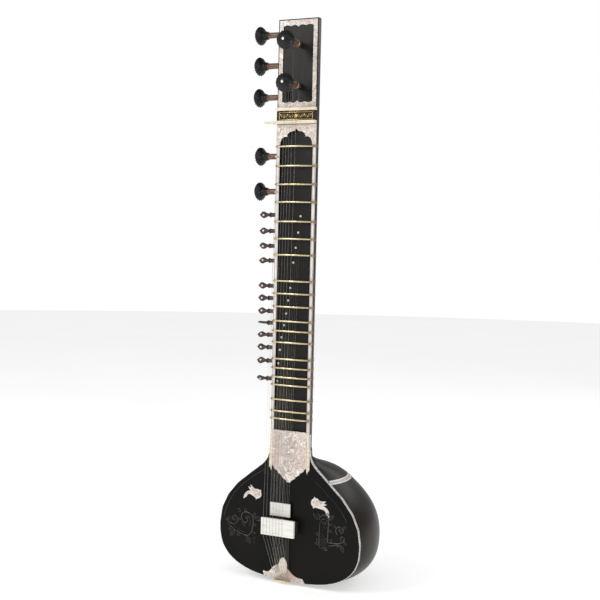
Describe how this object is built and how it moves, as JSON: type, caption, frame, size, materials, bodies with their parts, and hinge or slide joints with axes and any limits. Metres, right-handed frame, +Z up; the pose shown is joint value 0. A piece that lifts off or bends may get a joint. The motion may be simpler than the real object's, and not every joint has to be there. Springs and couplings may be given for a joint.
{
  "type": "sitar",
  "caption": "Sitar: gourd body with flat soundboard, long hollow neck, arched sliding frets, main and sympathetic tuning pegs, two flat bridges and two layers of strings.",
  "frame": {"origin": "lowest point of the gourd, on the instrument's middle plane", "axes": "+Z up the neck towards the head, +X to the viewer's right when facing the strings, the strings face -Y"},
  "size_m": [0.355, 0.322, 1.2184],
  "materials": {
    "black_lacquer": "satin black lacquer over wood",
    "black_gourd": "black lacquer over a dried gourd, brown in the light",
    "bone": "polished cream bone",
    "white_bone": "white bone, ground flat",
    "pearl_celluloid": "mottled pearl celluloid",
    "brass": "polished rod",
    "string_steel": "drawn wire",
    "rosewood": "polished dark rosewood",
    "stained_peg_wood": "turned wood, copper-brown stem and black head"
  },
  "bodies": {
    "sitar": {"neck": "black_lacquer", "fingerboard": "black_lacquer", "head_panel": "black_lacquer", "head_frame": "pearl_celluloid", "arch_plate": "pearl_celluloid", "root_plate": "pearl_celluloid", "nut": "bone", "string_guide": "bone", "nameplate": "black_lacquer", "gourd": "black_gourd", "heel": "black_lacquer", "soundboard": "black_lacquer", "main_bridge_plate": "white_bone", "main_bridge_legs": "rosewood", "small_bridge_plate": "white_bone", "small_bridge_legs": "rosewood", "tailpiece": "brass", "tail_plate": "pearl_celluloid", "tail_leaf": "bone", "playing_strings": "string_steel", "sympathetic_strings": "string_steel"},
    "side_peg_1": {"side_peg_1": "stained_peg_wood"},
    "side_peg_2": {"side_peg_2": "stained_peg_wood"},
    "side_peg_3": {"side_peg_3": "stained_peg_wood"},
    "drone_peg_1": {"drone_peg_1": "stained_peg_wood"},
    "drone_peg_2": {"drone_peg_2": "stained_peg_wood"},
    "front_peg_1": {"front_peg_1": "stained_peg_wood"},
    "front_peg_2": {"front_peg_2": "stained_peg_wood"},
    "sympathetic_peg_01": {"sympathetic_peg_01": "rosewood"},
    "sympathetic_peg_02": {"sympathetic_peg_02": "rosewood"},
    "sympathetic_peg_03": {"sympathetic_peg_03": "rosewood"},
    "sympathetic_peg_04": {"sympathetic_peg_04": "rosewood"},
    "sympathetic_peg_05": {"sympathetic_peg_05": "rosewood"},
    "sympathetic_peg_06": {"sympathetic_peg_06": "rosewood"},
    "sympathetic_peg_07": {"sympathetic_peg_07": "rosewood"},
    "sympathetic_peg_08": {"sympathetic_peg_08": "rosewood"},
    "sympathetic_peg_09": {"sympathetic_peg_09": "rosewood"},
    "sympathetic_peg_10": {"sympathetic_peg_10": "rosewood"},
    "sympathetic_peg_11": {"sympathetic_peg_11": "rosewood"},
    "sympathetic_peg_12": {"sympathetic_peg_12": "rosewood"},
    "fret_01": {"fret_01": "brass"},
    "fret_02": {"fret_02": "brass"},
    "fret_03": {"fret_03": "brass"},
    "fret_04": {"fret_04": "brass"},
    "fret_05": {"fret_05": "brass"},
    "fret_06": {"fret_06": "brass"},
    "fret_07": {"fret_07": "brass"},
    "fret_08": {"fret_08": "brass"},
    "fret_09": {"fret_09": "brass"},
    "fret_10": {"fret_10": "brass"},
    "fret_11": {"fret_11": "brass"},
    "fret_12": {"fret_12": "brass"},
    "fret_13": {"fret_13": "brass"},
    "fret_14": {"fret_14": "brass"},
    "fret_15": {"fret_15": "brass"},
    "fret_16": {"fret_16": "brass"},
    "fret_17": {"fret_17": "brass"},
    "fret_18": {"fret_18": "brass"},
    "fret_19": {"fret_19": "brass"},
    "fret_20": {"fret_20": "brass"}
  },
  "joints": [
    {"name": "side_peg_1_turn", "type": "hinge", "parent": "sitar", "child": "side_peg_1", "pos_m": [0, -0.1046, 1.19037], "axis": [1, 0, 0], "continuous": true},
    {"name": "side_peg_2_turn", "type": "hinge", "parent": "sitar", "child": "side_peg_2", "pos_m": [0, -0.1046, 1.12437], "axis": [1, 0, 0], "continuous": true},
    {"name": "side_peg_3_turn", "type": "hinge", "parent": "sitar", "child": "side_peg_3", "pos_m": [0, -0.1046, 1.05637], "axis": [1, 0, 0], "continuous": true},
    {"name": "drone_peg_1_turn", "type": "hinge", "parent": "sitar", "child": "drone_peg_1", "pos_m": [0, -0.1046, 0.92937], "axis": [1, 0, 0], "continuous": true},
    {"name": "drone_peg_2_turn", "type": "hinge", "parent": "sitar", "child": "drone_peg_2", "pos_m": [0, -0.1046, 0.85337], "axis": [1, 0, 0], "continuous": true},
    {"name": "front_peg_1_turn", "type": "hinge", "parent": "sitar", "child": "front_peg_1", "pos_m": [0.0025, -0.1246, 1.16437], "axis": [0, 1, 0], "continuous": true},
    {"name": "front_peg_2_turn", "type": "hinge", "parent": "sitar", "child": "front_peg_2", "pos_m": [0.0025, -0.1246, 1.07637], "axis": [0, 1, 0], "continuous": true},
    {"name": "sympathetic_peg_01_turn", "type": "hinge", "parent": "sitar", "child": "sympathetic_peg_01", "pos_m": [0, -0.1046, 0.80287], "axis": [1, 0, 0], "continuous": true},
    {"name": "sympathetic_peg_02_turn", "type": "hinge", "parent": "sitar", "child": "sympathetic_peg_02", "pos_m": [0, -0.1046, 0.76787], "axis": [1, 0, 0], "continuous": true},
    {"name": "sympathetic_peg_03_turn", "type": "hinge", "parent": "sitar", "child": "sympathetic_peg_03", "pos_m": [0, -0.1046, 0.73537], "axis": [1, 0, 0], "continuous": true},
    {"name": "sympathetic_peg_04_turn", "type": "hinge", "parent": "sitar", "child": "sympathetic_peg_04", "pos_m": [0, -0.1046, 0.70337], "axis": [1, 0, 0], "continuous": true},
    {"name": "sympathetic_peg_05_turn", "type": "hinge", "parent": "sitar", "child": "sympathetic_peg_05", "pos_m": [0, -0.1046, 0.64837], "axis": [1, 0, 0], "continuous": true},
    {"name": "sympathetic_peg_06_turn", "type": "hinge", "parent": "sitar", "child": "sympathetic_peg_06", "pos_m": [0, -0.1046, 0.62137], "axis": [1, 0, 0], "continuous": true},
    {"name": "sympathetic_peg_07_turn", "type": "hinge", "parent": "sitar", "child": "sympathetic_peg_07", "pos_m": [0, -0.1046, 0.59287], "axis": [1, 0, 0], "continuous": true},
    {"name": "sympathetic_peg_08_turn", "type": "hinge", "parent": "sitar", "child": "sympathetic_peg_08", "pos_m": [0, -0.1046, 0.56737], "axis": [1, 0, 0], "continuous": true},
    {"name": "sympathetic_peg_09_turn", "type": "hinge", "parent": "sitar", "child": "sympathetic_peg_09", "pos_m": [0, -0.1046, 0.54087], "axis": [1, 0, 0], "continuous": true},
    {"name": "sympathetic_peg_10_turn", "type": "hinge", "parent": "sitar", "child": "sympathetic_peg_10", "pos_m": [0, -0.1046, 0.51337], "axis": [1, 0, 0], "continuous": true},
    {"name": "sympathetic_peg_11_turn", "type": "hinge", "parent": "sitar", "child": "sympathetic_peg_11", "pos_m": [0, -0.1046, 0.48387], "axis": [1, 0, 0], "continuous": true},
    {"name": "sympathetic_peg_12_turn", "type": "hinge", "parent": "sitar", "child": "sympathetic_peg_12", "pos_m": [0, -0.1046, 0.44487], "axis": [1, 0, 0], "continuous": true},
    {"name": "fret_01_slide", "type": "slide", "parent": "sitar", "child": "fret_01", "axis": [0, 0, 1], "range_m": [-0.006, 0.0005]},
    {"name": "fret_02_slide", "type": "slide", "parent": "sitar", "child": "fret_02", "axis": [0, 0, 1], "range_m": [-0.006, 0.006]},
    {"name": "fret_03_slide", "type": "slide", "parent": "sitar", "child": "fret_03", "axis": [0, 0, 1], "range_m": [-0.006, 0.006]},
    {"name": "fret_04_slide", "type": "slide", "parent": "sitar", "child": "fret_04", "axis": [0, 0, 1], "range_m": [-0.006, 0.006]},
    {"name": "fret_05_slide", "type": "slide", "parent": "sitar", "child": "fret_05", "axis": [0, 0, 1], "range_m": [-0.006, 0.006]},
    {"name": "fret_06_slide", "type": "slide", "parent": "sitar", "child": "fret_06", "axis": [0, 0, 1], "range_m": [-0.006, 0.006]},
    {"name": "fret_07_slide", "type": "slide", "parent": "sitar", "child": "fret_07", "axis": [0, 0, 1], "range_m": [-0.006, 0.006]},
    {"name": "fret_08_slide", "type": "slide", "parent": "sitar", "child": "fret_08", "axis": [0, 0, 1], "range_m": [-0.006, 0.006]},
    {"name": "fret_09_slide", "type": "slide", "parent": "sitar", "child": "fret_09", "axis": [0, 0, 1], "range_m": [-0.006, 0.006]},
    {"name": "fret_10_slide", "type": "slide", "parent": "sitar", "child": "fret_10", "axis": [0, 0, 1], "range_m": [-0.006, 0.006]},
    {"name": "fret_11_slide", "type": "slide", "parent": "sitar", "child": "fret_11", "axis": [0, 0, 1], "range_m": [-0.001, 0.006]},
    {"name": "fret_12_slide", "type": "slide", "parent": "sitar", "child": "fret_12", "axis": [0, 0, 1], "range_m": [-0.006, 0.006]},
    {"name": "fret_13_slide", "type": "slide", "parent": "sitar", "child": "fret_13", "axis": [0, 0, 1], "range_m": [-0.006, 0.006]},
    {"name": "fret_14_slide", "type": "slide", "parent": "sitar", "child": "fret_14", "axis": [0, 0, 1], "range_m": [-0.0025, 0.006]},
    {"name": "fret_15_slide", "type": "slide", "parent": "sitar", "child": "fret_15", "axis": [0, 0, 1], "range_m": [-0.006, 0.0045]},
    {"name": "fret_16_slide", "type": "slide", "parent": "sitar", "child": "fret_16", "axis": [0, 0, 1], "range_m": [-0.002, 0.006]},
    {"name": "fret_17_slide", "type": "slide", "parent": "sitar", "child": "fret_17", "axis": [0, 0, 1], "range_m": [-0.006, 0.0025]},
    {"name": "fret_18_slide", "type": "slide", "parent": "sitar", "child": "fret_18", "axis": [0, 0, 1], "range_m": [-0.006, 0.006]},
    {"name": "fret_19_slide", "type": "slide", "parent": "sitar", "child": "fret_19", "axis": [0, 0, 1], "range_m": [-0.005, 0.006]},
    {"name": "fret_20_slide", "type": "slide", "parent": "sitar", "child": "fret_20", "axis": [0, 0, 1], "range_m": [-0.004, 0.005]}
  ]
}
